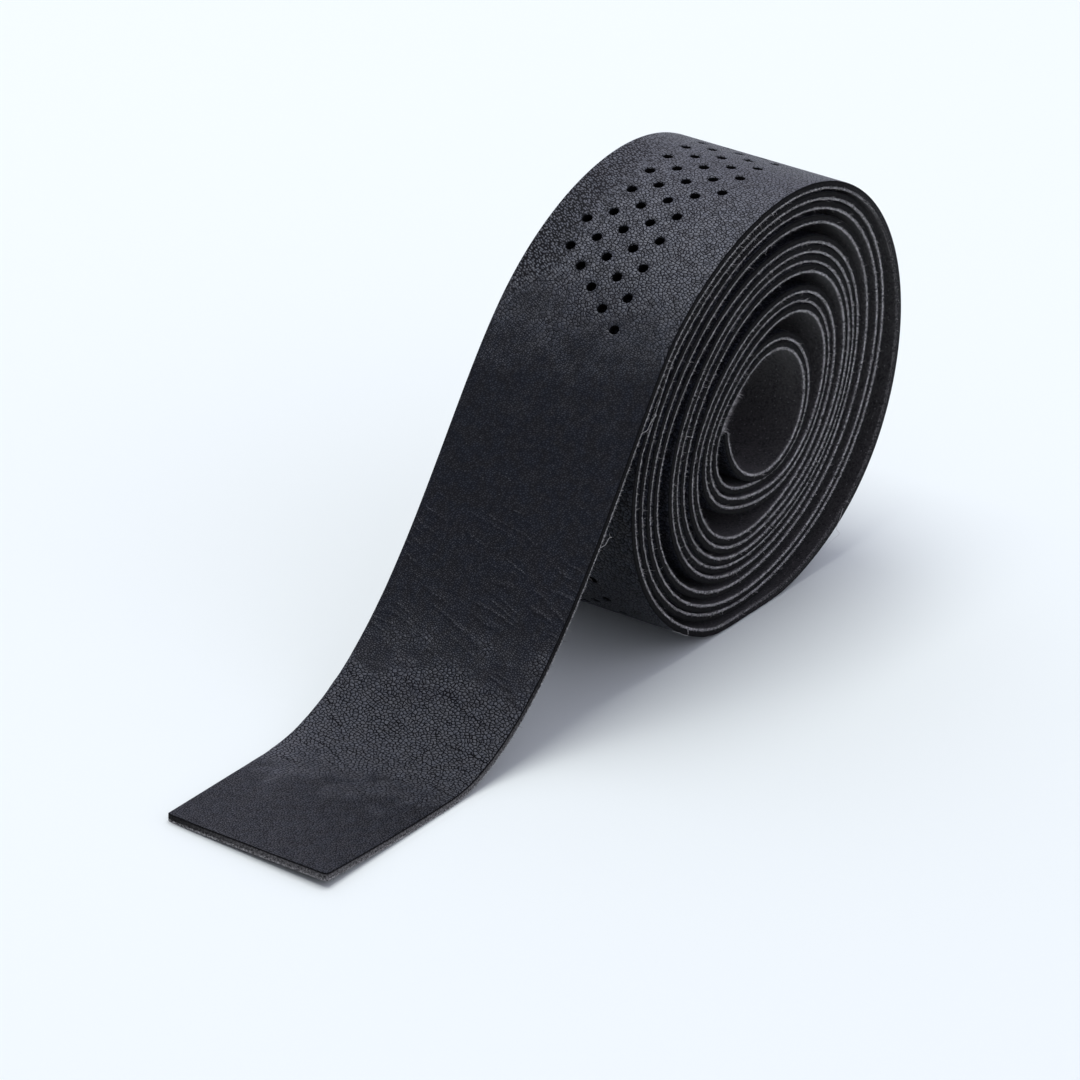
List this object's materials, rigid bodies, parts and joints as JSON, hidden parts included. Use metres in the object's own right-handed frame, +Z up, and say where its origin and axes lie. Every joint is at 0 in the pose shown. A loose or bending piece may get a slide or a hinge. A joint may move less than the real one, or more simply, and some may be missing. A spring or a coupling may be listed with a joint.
{
  "type": "handlebar tape roll",
  "caption": "Black perforated leather tape for wrapping bicycle handlebars, wound loosely into a roll with its free end laid out flat in front.",
  "frame": {"origin": "middle of the bounding box, at the surface that the roll and its tail lie on", "axes": "+X from the free tail towards the roll, +Y along the roll's axis away from the end face that shows, +Z up"},
  "size_m": [0.1492, 0.03, 0.0673],
  "materials": {
    "tape_leather": "pebble grain with a soft sheen outside, dark grey suede inside"
  },
  "bodies": {
    "root": {"handlebar_tape_strip": "tape_leather"}
  },
  "joints": []
}
